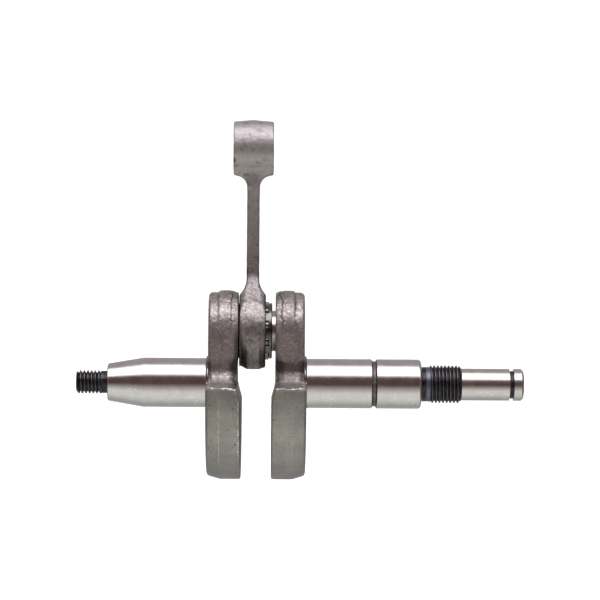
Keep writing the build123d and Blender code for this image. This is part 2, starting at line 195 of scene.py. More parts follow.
def turned_mesh(name, points, segments, threads=()):
    """Closed mesh of revolution about X from (x, r) points in millimetres, first and last on the axis."""
    xs = np.array([p[0] for p in points[1:-1]])
    rs = np.array([p[1] for p in points[1:-1]])
    angles = np.arange(segments) * 2 * math.pi / segments
    grid_x, grid_a = np.meshgrid(xs, angles, indexing="ij")
    grid_r = np.repeat(rs[:, None], segments, axis=1)
    for start, end, major, hand in threads:
        here = (grid_x >= min(start, end) - 1e-6) & (grid_x <= max(start, end) + 1e-6)
        here &= grid_r > major / 2 - 1.01
        nearest, farthest = sorted((abs(start), abs(end)))
        cut = thread_radius(np.abs(grid_x), grid_a, nearest, farthest, major, hand)
        grid_r = np.where(here, np.minimum(grid_r, cut), grid_r)
    verts = np.stack([grid_x, grid_r * np.cos(grid_a), grid_r * np.sin(grid_a)], axis=-1).reshape(-1, 3)
    ends = np.array([[points[0][0], 0, 0], [points[-1][0], 0, 0]])
    verts = np.concatenate([verts, ends]) * MM
    rings = len(xs)
    faces = []
    for i in range(rings - 1):
        for j in range(segments):
            k = (j + 1) % segments
            ring, next_ring = i * segments, (i + 1) * segments
            faces.append((ring + j, ring + k, next_ring + k, next_ring + j))
    first, last = rings * segments, rings * segments + 1
    for j in range(segments):
        k = (j + 1) % segments
        faces.append((first, k, j))
        faces.append((last, (rings - 1) * segments + j, (rings - 1) * segments + k))
    mesh = bpy.data.meshes.new(name)
    mesh.from_pydata(verts.tolist(), [], faces)
    bm = bmesh.new()
    bm.from_mesh(mesh)
    bmesh.ops.recalc_face_normals(bm, faces=bm.faces)
    bm.to_mesh(mesh)
    bm.free()
    mesh.polygons.foreach_set("use_smooth", [True] * len(mesh.polygons))
    mesh.set_sharp_from_angle(angle=math.radians(38))
    return mesh


def evaluated_mesh(piece):
    """The piece's mesh with its modifiers applied."""
    graph = bpy.context.evaluated_depsgraph_get()
    return bpy.data.meshes.new_from_object(piece.evaluated_get(graph))


def remeshed(name, node, voxel, cut_x=None):
    """Even fine mesh of a CAD node in millimetre arrays, cut off beyond cut_x on its own side."""
    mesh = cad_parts[node].data.copy()
    bm = bmesh.new()
    bm.from_mesh(mesh)
    bmesh.ops.remove_doubles(bm, verts=bm.verts, dist=1e-7)
    if cut_x is not None:
        side = 1 if cut_x > 0 else -1
        geom = bm.verts[:] + bm.edges[:] + bm.faces[:]
        bmesh.ops.bisect_plane(
            bm, geom=geom, plane_co=(cut_x * MM, 0, 0), plane_no=(side, 0, 0), clear_outer=True
        )
        bmesh.ops.holes_fill(bm, edges=[e for e in bm.edges if e.is_boundary], sides=0)
    bm.to_mesh(mesh)
    bm.free()
    piece = bpy.data.objects.new(name, mesh)
    bpy.context.scene.collection.objects.link(piece)
    modifier = piece.modifiers.new("even", "REMESH")
    modifier.mode = "VOXEL"
    modifier.voxel_size = voxel * MM
    fine = evaluated_mesh(piece)
    bpy.data.objects.remove(piece)
    return fine


def read_points(mesh):
    """Vertex places in millimetres and unit normals."""
    count = len(mesh.vertices)
    places, normals = np.empty(count * 3), np.empty(count * 3)
    mesh.vertices.foreach_get("co", places)
    mesh.vertex_normals.foreach_get("vector", normals)
    return places.reshape(-1, 3) / MM, normals.reshape(-1, 3)


def write_points(mesh, places):
    """Puts millimetre places back into the mesh."""
    mesh.vertices.foreach_set("co", (places * MM).ravel())
    mesh.update()


def relaxed(mesh, rounds, weight=None):
    """Moves each vertex towards the middle of its neighbours, by weight where it is given."""
    places, _ = read_points(mesh)
    edges = np.empty(len(mesh.edges) * 2, dtype=int)
    mesh.edges.foreach_get("vertices", edges)
    edges = edges.reshape(-1, 2)
    count = np.bincount(edges.ravel(), minlength=len(places))[:, None]
    for _ in range(rounds):
        total = np.zeros_like(places)
        for axis in range(3):
            total[:, axis] = np.bincount(edges[:, 0], places[edges[:, 1], axis], len(places))
            total[:, axis] += np.bincount(edges[:, 1], places[edges[:, 0], axis], len(places))
        move = 0.5 * (total / count - places)
        places += move if weight is None else move * weight[:, None]
    write_points(mesh, places)


# ---------------------------------------------------------------- materials


class Shader:
    """A material with one Principled shader and short calls for the nodes that feed it."""

    def __init__(self, name, **constants):
        self.material = bpy.data.materials.new(name)
        self.material.use_nodes = True
        self.tree = self.material.node_tree
        self.tree.nodes.clear()
        output = self.tree.nodes.new("ShaderNodeOutputMaterial")
        self.surface = self.tree.nodes.new("ShaderNodeBsdfPrincipled")
        self.tree.links.new(self.surface.outputs[0], output.inputs[0])
        for socket, value in constants.items():
            self.surface.inputs[socket.replace("_", " ")].default_value = value
        self.place = self.tree.nodes.new("ShaderNodeTexCoord").outputs["Object"]

    def node(self, kind, links=None, **settings):
        made = self.tree.nodes.new("ShaderNode" + kind)
        for key, value in settings.items():
            setattr(made, key, value)
        for socket, value in (links or {}).items():
            if isinstance(value, bpy.types.NodeSocket):
                self.tree.links.new(value, made.inputs[socket])
            else:
                made.inputs[socket].default_value = value
        return made

    def field(self, name):
        return self.node("Attribute", attribute_name=name, attribute_type="GEOMETRY").outputs["Fac"]

    def scaled(self, x, y, z):
        """The place stretched by a factor along each axis, in features per metre."""
        return self.node("Mapping", {"Vector": self.place, "Scale": (x, y, z)}).outputs[0]

    def noise(self, vector, scale=1.0, detail=3.0, roughness=0.55):
        links = {"Vector": vector, "Scale": scale, "Detail": detail, "Roughness": roughness}
        return self.node("TexNoise", links).outputs["Fac"]

    def math(self, operation, a, b=0.0, clamp=False):
        return self.node("Math", {0: a, 1: b}, operation=operation, use_clamp=clamp).outputs[0]

    def span(self, value, low, high, to_low, to_high):
        links = {"Value": value, "From Min": low, "From Max": high, "To Min": to_low, "To Max": to_high}
        return self.node("MapRange", links, interpolation_type="SMOOTHSTEP").outputs[0]

    def mix(self, factor, a, b):
        links = {"Factor": factor, 6: a, 7: b}
        return self.node("Mix", links, data_type="RGBA").outputs[2]

    def bump(self, height, distance, strength=1.0, normal=None):
        links = {"Height": height, "Distance": distance, "Strength": strength}
        if normal is not None:
            links["Normal"] = normal
        return self.node("Bump", links).outputs[0]

    def feed(self, **sockets):
        for socket, value in sockets.items():
            self.tree.links.new(value, self.surface.inputs[socket.replace("_", " ")])
        return self.material


def ground_steel(name, low, high):
    """Ground journals: very fine rings around the axis, sandy handling marks and a few bright specks."""
    s = Shader(name, Metallic=1.0, Anisotropic=0.25)
    tangent = s.node("Tangent", direction_type="RADIAL", axis="X").outputs[0]
    rings = s.noise(s.scaled(11000, 200, 200), detail=2.0)
    wide_rings = s.noise(s.scaled(1500, 45, 45), detail=2.0)
    sand = s.noise(s.scaled(2600, 2600, 2600), detail=3.0, roughness=0.6)
    marks = s.noise(s.scaled(260, 260, 260), detail=4.0)
    tone = s.math("ADD", s.math("MULTIPLY", sand, 0.6), s.math("MULTIPLY", marks, 0.4))
    colour = s.mix(s.span(tone, 0.35, 0.65, 0, 1), (0.545, 0.53, 0.515, 1), (0.63, 0.615, 0.60, 1))
    flecks = s.noise(s.scaled(900, 1500, 1500), detail=2.0)
    specks = s.math("MULTIPLY", s.span(flecks, 0.62, 0.70, 0, 1), s.span(marks, 0.50, 0.60, 0, 1))
    colour = s.mix(specks, colour, (0.84, 0.83, 0.80, 1))
    pits = s.math("MULTIPLY", s.span(sand, 0.30, 0.24, 0, 0.7), s.span(marks, 0.55, 0.45, 0, 1))
    colour = s.mix(pits, colour, (0.30, 0.285, 0.27, 1))
    roughness = s.span(tone, 0.3, 0.7, low, high)
    normal = s.bump(rings, 1.0e-6, 0.5, s.bump(wide_rings, 1.5e-6, 0.4, s.bump(sand, 5e-6, 0.5)))
    return s.feed(Base_Color=colour, Roughness=roughness, Normal=normal, Tangent=tangent)


def black_oxide():
    """Blackened threads and necks: dark and oily with a blue cast, the crests rubbed brighter."""
    s = Shader("black_oxide", Metallic=0.75)
    split = s.node("SeparateXYZ", {0: s.place}).outputs
    across = [s.math("MULTIPLY", split[k], split[k]) for k in (1, 2)]
    radius = s.math("SQRT", s.math("ADD", *across))
    blotch = s.noise(s.scaled(500, 500, 500), detail=4.0)
    fine = s.noise(s.scaled(6000, 6000, 6000), detail=2.0)
    colour = s.mix(s.span(blotch, 0.35, 0.7, 0, 1), (0.022, 0.020, 0.021, 1), (0.062, 0.060, 0.072, 1))
    past_journal = s.span(split[0], 0.0581, 0.0588, 0, 0.8)
    on_neck = s.math("MULTIPLY", past_journal, s.span(split[0], 0.0600, 0.0597, 0, 1))
    colour = s.mix(on_neck, colour, (0.15, 0.15, 0.19, 1))
    wide_crest = s.span(radius, 0.00638, 0.00649, 0, 1)
    stub_only = s.span(radius, 0.0042, 0.0041, 0, 1)
    narrow_crest = s.math("MULTIPLY", s.span(radius, 0.00389, 0.00399, 0, 1), stub_only)
    crest = s.math("MAXIMUM", wide_crest, narrow_crest)
    rubbed = s.math("MULTIPLY", crest, s.span(fine, 0.35, 0.6, 0.35, 1.0))
    colour = s.mix(rubbed, colour, (0.10, 0.097, 0.097, 1))
    roughness = s.span(blotch, 0.3, 0.7, 0.24, 0.38)
    return s.feed(Base_Color=colour, Roughness=roughness, Normal=s.bump(fine, 5e-6, 0.5))


def groove_dirt_and_shade():
    """Floor of the ring groove and clip groove: brown dirt coat over turned steel, partly painted shade;
    also the painted shadow under the clutch journal's root.
    """
    s = Shader("groove_dirt_and_shade", Metallic=0.8)
    blotch = s.noise(s.scaled(900, 900, 900), detail=4.0)
    colour = s.mix(s.span(blotch, 0.35, 0.7, 0, 1), (0.10, 0.085, 0.08, 1), (0.20, 0.18, 0.175, 1))
    roughness = s.span(blotch, 0.3, 0.7, 0.35, 0.5)
    return s.feed(Base_Color=colour, Roughness=roughness, Normal=s.bump(blotch, 2e-5, 0.4))


def forged_steel():
    """Blasted forging: pebbled brownish grey with rubbed high spots, dark creases and rubbed edges that
    carry painted highlights; darkened by dirt and by painted shade.
    """
    s = Shader("forged_steel", Metallic=0.85)
    pebble = s.noise(s.scaled(1050, 1050, 1050), detail=3.0, roughness=0.6)
    grain = s.noise(s.scaled(3300, 3300, 3300), detail=2.0)
    patch = s.noise(s.scaled(150, 150, 150), detail=3.0)
    dark = s.mix(s.span(patch, 0.35, 0.65, 0, 1), (0.255, 0.222, 0.208, 1), (0.34, 0.303, 0.29, 1))
    colour = s.mix(s.span(pebble, 0.45, 0.72, 0, 1), dark, (0.53, 0.495, 0.485, 1))
    colour = s.mix(s.span(grain, 0.54, 0.70, 0, 0.75), colour, (0.10, 0.086, 0.08, 1))
    # Darkened by dirt and by painted shade, from the mesh's dirt-and-shade field
    colour = s.mix(s.span(s.field("grime_and_shade"), 0.0, 1.0, 0, 0.85), colour, (0.03, 0.024, 0.022, 1))
    # Lightened by rubbing and by painted highlights along the shoulder's burr and the counterweight's inner
    # edge
    colour = s.mix(s.span(s.field("wear_and_sheen"), 0.1, 0.9, 0, 0.9), colour, (0.75, 0.72, 0.71, 1))
    roughness = s.span(pebble, 0.3, 0.7, 0.46, 0.32)
    normal = s.bump(grain, 5.0e-5, 0.8, s.bump(pebble, 1.9e-4, 0.8))
    return s.feed(Base_Color=colour, Roughness=roughness, Normal=normal)


def turned_satin():
    """Machined counterweight surfaces: satin grey with fine turning rings, specks, dirt and painted shade,
    and bright rubbed edges that are partly painted highlights.
    """
    s = Shader("turned_satin", Metallic=0.9)
    split = s.node("SeparateXYZ", {0: s.place}).outputs
    across = [s.math("MULTIPLY", split[k], split[k]) for k in (1, 2)]
    radius = s.math("SQRT", s.math("ADD", *across))
    along = {0: s.math("MULTIPLY", split[0], 3500.0), 1: s.math("MULTIPLY", radius, 3500.0)}
    rings = s.noise(s.node("CombineXYZ", along).outputs[0], detail=2.0)
    sand = s.noise(s.scaled(2800, 2800, 2800), detail=3.0, roughness=0.6)
    speck = s.noise(s.scaled(1500, 1500, 1500), detail=5.0, roughness=0.65)
    patch = s.noise(s.scaled(130, 130, 130), detail=3.0)
    base = s.mix(s.span(patch, 0.35, 0.65, 0, 1), (0.315, 0.312, 0.283, 1), (0.395, 0.382, 0.348, 1))
    base = s.mix(s.span(sand, 0.35, 0.65, 0, 0.45), base, (0.22, 0.215, 0.195, 1))
    colour = s.mix(s.span(speck, 0.31, 0.38, 0.9, 0), base, (0.06, 0.053, 0.047, 1))
    colour = s.mix(s.span(speck, 0.66, 0.74, 0, 0.6), colour, (0.55, 0.53, 0.50, 1))
    # Darkened by dirt and by painted shade
    colour = s.mix(s.span(s.field("grime_and_shade"), 0.0, 1.0, 0, 0.9), colour, (0.02, 0.017, 0.015, 1))
    # Painted highlight: a bright hairline along the edge where the counterweight's taper starts
    off_edge = s.math("ABSOLUTE", s.math("SUBTRACT", s.math("ABSOLUTE", split[0]), CONE_START * MM))
    hairline = s.math("MULTIPLY", s.span(off_edge, 4e-5, 1.7e-4, 1, 0), s.field("cone"))
    hairline = s.math("MULTIPLY", hairline, s.span(speck, 0.35, 0.6, 0.55, 1.0))
    rubbed_and_glinting = s.math("ADD", s.field("wear_and_sheen"), hairline)
    # Rubbed edges and painted highlights lighten it
    colour = s.mix(s.span(rubbed_and_glinting, 0.1, 0.9, 0, 0.95), colour, (0.86, 0.85, 0.82, 1))
    roughness = s.span(speck, 0.3, 0.7, 0.52, 0.42)
    normal = s.bump(rings, 6e-6, 0.5, s.bump(sand, 2.5e-5, 0.6, s.bump(speck, 4e-5, 0.5)))
    return s.feed(Base_Color=colour, Roughness=roughness, Normal=normal)


def rod_steel():
    """Blasted rod forging: finer grain than the webs, brighter on its rubbed bands, lighter towards the
    small end, with painted shade in its grooves and on the flare's sides.
    """
    s = Shader("rod_steel", Metallic=0.9)
    pebble = s.noise(s.scaled(1500, 1500, 1500), detail=4.0, roughness=0.6)
    grain = s.noise(s.scaled(3800, 3800, 3800), detail=2.0)
    patch = s.noise(s.scaled(140, 140, 140), detail=3.0)
    streak = s.noise(s.scaled(900, 900, 90), detail=3.0)
    base = s.mix(s.span(patch, 0.35, 0.65, 0, 1), (0.22, 0.197, 0.188, 1), (0.29, 0.265, 0.255, 1))
    height = s.node("SeparateXYZ", {0: s.place}).outputs[2]
    # Lighter towards the small end: partly a brighter finish, partly painted light
    upper = s.span(height, 0.034, 0.070, 0, 0.9)
    base = s.mix(upper, base, (0.42, 0.395, 0.385, 1))
    colour = s.mix(s.span(pebble, 0.42, 0.72, 0, 1), base, (0.43, 0.40, 0.39, 1))
    colour = s.mix(s.span(streak, 0.52, 0.75, 0, 0.5), colour, (0.50, 0.48, 0.47, 1))
    colour = s.mix(s.span(grain, 0.55, 0.72, 0, 0.5), colour, (0.13, 0.115, 0.108, 1))
    # Darkened by dirt and by painted shade in the big end's grooves, on the flare's sides and under the
    # small end
    colour = s.mix(s.span(s.field("grime_and_shade"), 0.0, 1.0, 0, 0.8), colour, (0.05, 0.043, 0.04, 1))
    colour = s.mix(s.span(s.field("wear_and_sheen"), 0.1, 0.9, 0, 0.8), colour, (0.62, 0.60, 0.60, 1))
    roughness = s.math("ADD", s.span(pebble, 0.3, 0.7, 0.46, 0.37), s.math("MULTIPLY", upper, 0.09))
    normal = s.bump(grain, 2.0e-5, 0.6, s.bump(pebble, 7e-5, 0.7))
    return s.feed(Base_Color=colour, Roughness=roughness, Normal=normal)


def bearing_steel(name, low, high):
    """Polished bearing steel with light ring marks."""
    s = Shader(name, Metallic=1.0)
    rings = s.noise(s.scaled(7000, 90, 90), detail=2.0)
    stain = s.noise(s.scaled(420, 420, 420), detail=4.0)
    colour = s.mix(s.span(stain, 0.35, 0.65, 0, 1), low, high)
    roughness = s.span(stain, 0.3, 0.7, 0.12, 0.24)
    return s.feed(Base_Color=colour, Roughness=roughness, Normal=s.bump(rings, 1.5e-6, 0.6))


STEEL = ground_steel("ground_steel", 0.14, 0.22)
DRUM_STEEL = ground_steel("drum_journal_steel", 0.19, 0.26)
BLACK = black_oxide()
GROOVE_DIRT_AND_SHADE = groove_dirt_and_shade()
FORGED = forged_steel()
SATIN = turned_satin()
ROD = rod_steel()
PIN = bearing_steel("pin_steel", (0.50, 0.49, 0.47, 1), (0.62, 0.61, 0.59, 1))
# Needles: a darker copy of the pin's steel, partly oily, partly painted shade of the cage's pockets
NEEDLE_OILED_AND_SHADED = bearing_steel("needle_steel_oiled_and_shaded", (0.12, 0.115, 0.11, 1), (0.24, 0.23, 0.22, 1))
CAGE = bearing_steel("cage_steel", (0.10, 0.095, 0.09, 1), (0.19, 0.18, 0.175, 1))


# ---------------------------------------------------------------- shafts


def paint(mesh, materials, choose):
    """Gives each face the slot number that choose returns for its centre in millimetres and its normal."""
    mesh.materials.clear()
    for material in materials:
        mesh.materials.append(material)
    count = len(mesh.polygons)
    centres, normals = np.empty(count * 3), np.empty(count * 3)
    mesh.polygons.foreach_get("center", centres)
    mesh.polygons.foreach_get("normal", normals)
    slots = choose(centres.reshape(-1, 3) / MM, normals.reshape(-1, 3))
    mesh.polygons.foreach_set("material_index", slots.astype(np.int32))


def mirrored(points):
    """The same profile on the other side of X = 0."""
    return [(-x, *rest) for x, *rest in points]


def shaft_root():
    """Profile where a journal grows out of its web, with the concave fillet."""
    inside = LAND_FACE - 2
    land = [(inside, 0, 0), (inside, LAND_R, 0), (LAND_FACE, LAND_R, 0)]
    return land + [(LAND_FACE + 0.05, JOURNAL_R, ROOT_ROUND)]


def centre_profile(end):
    """Profile of the lathe centre drilled into a shaft's end."""
    return [(end, 1.5, 0.1), (end - 1.3, 0.75, 0), (end - 3.2, 0.75, 0), (end - 3.3, 0, 0)]


clutch_profile = shaft_root() + [
    (RING_GROOVE - 0.95, JOURNAL_R, 0.12),
    (RING_GROOVE - 0.45, RING_GROOVE_R, EDGE_ROUND),
    (RING_GROOVE + 0.45, RING_GROOVE_R, EDGE_ROUND),
    (RING_GROOVE + 0.95, JOURNAL_R, 0.12),
    (JOURNAL_END, JOURNAL_R, 1.25),
    (JOURNAL_END, NECK_R, 0.3),
    (THREAD_START, NECK_R, EDGE_ROUND),
    (THREAD_START + 0.1, THREAD_R, 0.05),
    (THREAD_END - 0.65, THREAD_R, EDGE_ROUND),
    (THREAD_END, THREAD_R - 0.75, EDGE_ROUND),
    (DRUM_START, DRUM_R, EDGE_ROUND),
    (CLIP_START, DRUM_R, 0.06),
    (CLIP_START, CLIP_R, 0.08),
    (CLIP_END, CLIP_R, 0.08),
    (CLIP_END, DRUM_R, 0.06),
    (CLUTCH_END - 0.7, DRUM_R, 0.15),
    (CLUTCH_END, DRUM_R - 0.7, EDGE_ROUND),
] + centre_profile(CLUTCH_END)

flywheel_profile = shaft_root() + [
    (TAPER_START, JOURNAL_R, 3.0),
    (TAPER_END, TAPER_END_R, 0.5),
    (TAPER_END, STUB_NECK_R, 0.3),
    (STUB_START, STUB_NECK_R, EDGE_ROUND),
    (STUB_START + 0.1, STUB_R, 0.05),
    (FLYWHEEL_END - 0.7, STUB_R, EDGE_ROUND),
    (FLYWHEEL_END, STUB_R - 0.65, EDGE_ROUND),
] + centre_profile(FLYWHEEL_END)

LEFT_HAND, RIGHT_HAND = -1, 1
RING_PITCH = 0.05

points = divided(rounded(clutch_profile), THREAD_START + 0.05, THREAD_END + 0.05, RING_PITCH)
mesh = turned_mesh("clutch_shaft", points, 224, [(THREAD_START, THREAD_END, 2 * THREAD_R, LEFT_HAND)])


def clutch_zone(c, n):
    """Slot numbers along the clutch shaft: journal, blackened length, grooves, drum journal, and the
    groove's dark material as painted shadow under the journal's root.
    """
    x, radius = c[:, 0], np.hypot(c[:, 1], c[:, 2])
    zone = np.zeros(len(x))
    zone[(x > JOURNAL_END - 0.05) & (x < DRUM_START - 0.05)] = 1
    zone[(np.abs(x - RING_GROOVE) < 1.0) & (radius < JOURNAL_R - 0.08)] = 2
    # Painted shadow: the underside of the journal's root gets the groove's dark material
    zone[(x < LAND_FACE + 0.95) & (c[:, 2] < -7.4)] = 2
    zone[x > DRUM_START - 0.05] = 3
    zone[(x > CLIP_START + 0.02) & (x < CLIP_END - 0.02)] = 1
    return zone


paint(mesh, [STEEL, BLACK, GROOVE_DIRT_AND_SHADE, DRUM_STEEL], clutch_zone)
clutch_shaft = new_object("clutch_shaft", mesh, "crank", "clutch_crank_half")


def slot_cutter(middle, floor):
    """Closed prism of the milled keyway, standing out of the +Y side from its floor."""
    half, radius, top = (KEY_LENGTH - KEY_WIDTH) / 2, KEY_WIDTH / 2, 12.0
    outline = []
    for side in (1, -1):
        for k in range(13):
            angle = math.pi * (k / 12 - 0.5)
            reach = half + radius * math.cos(angle)
            outline.append((middle + side * reach, side * radius * math.sin(angle)))
    verts = [(x * MM, y * MM, z * MM) for y in (floor, top) for x, z in outline]
    count = len(outline)
    sides = [(k, (k + 1) % count, count + (k + 1) % count, count + k) for k in range(count)]
    mesh = bpy.data.meshes.new("keyway_cutter")
    mesh.from_pydata(verts, [], [tuple(range(count)), tuple(range(2 * count - 1, count - 1, -1)), *sides])
    bm = bmesh.new()
    bm.from_mesh(mesh)
    bmesh.ops.recalc_face_normals(bm, faces=bm.faces)
    bm.to_mesh(mesh)
    bm.free()
    return mesh


def with_keyway(mesh):
    """The shaft mesh with the keyway milled into its taper."""
    cutter = bpy.data.objects.new("keyway_cutter", slot_cutter(-KEY_MIDDLE, KEY_FLOOR))
    blank = bpy.data.objects.new("keyed_blank", mesh)
    for piece in (cutter, blank):
        bpy.context.scene.collection.objects.link(piece)
    modifier = blank.modifiers.new("keyway", "BOOLEAN")
    modifier.operation = "DIFFERENCE"
    modifier.solver = "EXACT"
    modifier.object = cutter
    keyed = evaluated_mesh(blank)
    for piece in (cutter, blank):
        bpy.data.objects.remove(piece)
    keyed.set_sharp_from_angle(angle=math.radians(38))
    return keyed


points = mirrored(divided(rounded(flywheel_profile), STUB_START, FLYWHEEL_END, RING_PITCH))
stub_thread = (-STUB_START, -FLYWHEEL_END, 2 * STUB_R, RIGHT_HAND)
mesh = with_keyway(turned_mesh("flywheel_shaft", points, 192, [stub_thread]))
paint(mesh, [STEEL, BLACK], lambda c, n: c[:, 0] < 0.05 - TAPER_END)
flywheel_shaft = new_object("flywheel_shaft", mesh, "crank", "flywheel_crank_half")


# ---------------------------------------------------------------- forged webs


def band_of(value, centre, width):
    """Soft line of that half width around a centre value."""
    return np.exp(-(((value - centre) / width) ** 2))


def put_field(mesh, name, values):
    """Stores one number per vertex for the materials to read."""
    field = mesh.attributes.new(name, "FLOAT", "POINT")
    field.data.foreach_set("value", np.clip(values, 0, 1).astype(np.float32))


def web_mesh(name, node, side, seed, *, inner_swell, cone_glint, inner_rub_and_glint, pitting, foot_shade, inner_edge_shade):
    """Forged web with its counterweight: fine mesh of the solid, with trim ridges and forging relief."""
    mesh = remeshed(name, node, 0.3, side * (LAND_FACE + 0.25))
    p, n = read_points(mesh)
    relaxed(mesh, 8, 0.2 + 0.8 * step(1.0, 4.0, p[:, 2]) * (np.abs(p[:, 0]) < WEB_FACE_OUT - 0.1))
    p, n = read_points(mesh)
    x, y, z = np.abs(p[:, 0]), p[:, 1], p[:, 2]
    from_axis = np.hypot(y, z)
    upper = step(SHOULDER_Z - 0.4, SHOULDER_Z + 0.6, z)
    sideways = 1 - step(0.55, 0.85, np.abs(n[:, 0]))
    facing_in = step(0.3, 0.9, -n[:, 0] * side)
    top = step(14, 24, z)
    crown = ((x - (WEB_FACE_IN + WEB_FACE_OUT) / 2) / (WEB_FACE_OUT - WEB_FACE_IN) * 2) ** 4
    forged = upper * (0.2 + 0.8 * sideways)
    flat = p * (0.0, 1, 1)
    # Hammered relief, and the ridges and creases left by trimming the flash
    lumps = 0.17 * fractal(p, 5.5, seed) + 0.07 * fractal(p, 1.6, seed + 10)
    lumps += 0.035 * fractal(p, 0.9, seed + 15, 2)
    wander = 1.7 * fractal(flat, 7.5, seed + 20) + 0.45 * fractal(flat, 2.0, seed + 25)
    low_line, high_line = 8.7 + wander, 12.9 + 0.45 * wander
    scar = 9.9 + 1.3 * fractal(flat, 6.0, seed + 28)
    band = step(low_line - 0.25, low_line + 0.25, x) * (1 - step(high_line - 0.3, high_line + 0.3, x))
    low_groove = band_of(x, low_line - 0.35, 0.22) * top
    high_groove = band_of(x, high_line + 0.35, 0.2) * top * step(-0.3, 0.3, fractal(flat, 5.0, seed + 35))
    torn = band_of(x, scar, 0.16) * top * step(-0.1, 0.35, fractal(flat, 4.0, seed + 33))
    crease = low_groove + 0.7 * high_groove + 0.6 * torn
    relief = forged * (lumps + sideways * (0.13 * band * top - 0.17 * crease))
    relief -= forged * sideways * 0.55 * np.minimum(crown, 1) * (1 - step(4.0, 9.0, z))
    relief += upper * facing_in * inner_swell * step(5.0, 11.0, z)

    # Turned rim of the counterweight, nicked along its inner edge
    under = 1 - upper
    rim = under * step(31.0, 32.0, from_axis)
    relief += rim * (0.012 * fractal(p, 2.5, seed + 30) + 0.02 * fractal(p, 0.8, seed + 31, 2))
    nick = step(0.25, 0.6, fractal(p, 1.3, seed + 37)) * band_of(x, WEIGHT_FACE_IN + 0.7, 0.9)
    relief -= under * 0.10 * nick * step(28.0, 31.0, from_axis)

    # Ragged burr along the shoulder's edge
    along_edge = p * (1, 0.3, 0)
    ragged = 1.1 * fractal(along_edge, 4.5, seed + 40) + 0.4 * fractal(along_edge, 1.2, seed + 44)
    corner = 0.4 * step(1.5, 0.0, x - WEIGHT_FACE_IN) + 0.5 * step(1.2, 0.0, WEIGHT_FACE_OUT - x)
    slope = SHOULDER_Z + 0.8 * (1 - step(14.0, WEIGHT_R, np.abs(y)))
    at_rim = step(28.0, 32.0, from_axis)
    edge_line = band_of(z, slope, 0.65) * step(31.0, 32.6, from_axis)
    relief += 0.32 * edge_line * (0.6 + ragged)
    p[:, 2] += at_rim * band_of(z, slope, 1.1) * (0.55 * ragged - 0.7 * corner)
    write_points(mesh, p + n * relief[:, None])

    # Rubbing, dirt, painted highlights and painted shade for the materials
    chips = step(-0.35, 0.5, fractal(p, 1.6, seed + 50))
    fading = step(-30.0, -24.0, z) * step(-2.0, -9.0, z)
    # Painted highlight: a thin bright line where the counterweight's taper starts, broken by chips and
    # fading towards both ends
    put_field(mesh, "cone", rim * band_of(x, CONE_START, 1.2) * (0.3 + 0.3 * chips) * fading * cone_glint)
    # Bright line along the counterweight's inner edge: partly rubbed metal, partly a painted highlight of
    # its chamfer
    inner_edge = WEIGHT_FACE_IN + 0.6 + LEDGE_WIDTH * np.clip(1 + z / LEDGE_DROP, 0, 1)
    inner_edge_rub_and_glint = under * band_of(x, inner_edge, 0.24) * step(30, 32, from_axis) * inner_rub_and_glint
    inner_edge_rub_and_glint *= (0.35 + 0.65 * chips) * step(-28.0, -22.0, z)
    ridges = band_of(x, low_line + 0.15, 0.3) + 0.7 * band_of(x, high_line - 0.1, 0.3)
    worn_ridge = forged * ridges * top * chips
    # Painted highlight along the shoulder's burr, broken up, partly rubbed bright metal
    lip = band_of(z, slope + 0.1, 0.7) * step(31.0, 32.6, from_axis)
    lip *= step(-0.5, 0.5, fractal(p * (1, 1, 0), 2.6, seed + 60))
    put_field(mesh, "wear_and_sheen", inner_edge_rub_and_glint + 0.5 * worn_ridge + 1.4 * lip)
    by_edge = band_of(x, WEIGHT_FACE_OUT - 1.3, 1.1) + band_of(x, WEIGHT_FACE_IN + 1.6, 1.2)
    pits = rim * by_edge * step(0.28, 0.5, fractal(p, 0.9, seed + 70, 2)) * step(-28.0, -22.0, z) * pitting
    # Painted shadow under the journal's root where it meets the counterweight
    root = band_of(np.hypot(x - LAND_FACE, from_axis - JOURNAL_R), 0.3, 0.9) * step(-5.5, -7.5, z)
    # A darker band just above the shoulder's edge
    under_edge = upper * band_of(z, slope + 1.15, 0.45) * step(26.0, 30.0, from_axis)
    web_middle, web_width = (WEB_FACE_IN + WEB_FACE_OUT) / 2, WEB_FACE_OUT - WEB_FACE_IN
    off_middle = np.abs(x - web_middle - 0.7) / web_width * 2
    # Painted shade: dims the foot's highlight towards its sides and the top's highlight, and darkens the
    # web's inner edge
    in_foot = upper * step(0.6, 2.0, z) * step(9.5, 6.5, z)
    painted_foot_shade = in_foot * (foot_shade + 0.55 * step(0.4, 0.85, off_middle))
    painted_foot_shade += 0.3 * forged * top * foot_shade
    painted_foot_shade += upper * inner_edge_shade * step(WEB_FACE_IN + 2.2, WEB_FACE_IN + 0.2, x) * step(21.0, 15.0, z)
    # Darker in the trim creases, the rim's nicks, the band above the edge and the painted shadow at the root
    dirt_and_shade_in_marks = forged * crease + root + 0.6 * nick * rim + 0.7 * under_edge
    put_field(mesh, "grime_and_shade", dirt_and_shade_in_marks + painted_foot_shade + pits)
    mesh.polygons.foreach_set("use_smooth", [True] * len(mesh.polygons))
    paint(
        mesh,
        [FORGED, SATIN],
        lambda c, m: (c[:, 2] < SHOULDER_Z - 0.1)
        | ((np.abs(m[:, 0]) > 0.9) & (np.abs(c[:, 0]) > 6.0)),
    )
    return mesh


flywheel_looks = {
    "inner_swell": 0.25,
    "cone_glint": 1.3,
    "inner_rub_and_glint": 0.8,
    "pitting": 1.0,
    "foot_shade": 0.3,
    "inner_edge_shade": 0.75,
}
clutch_looks = {
    "inner_swell": 0.0,
    "cone_glint": 0.7,
    "inner_rub_and_glint": 0.25,
    "pitting": 0.3,
    "foot_shade": 0.62,
    "inner_edge_shade": 0.35,
}

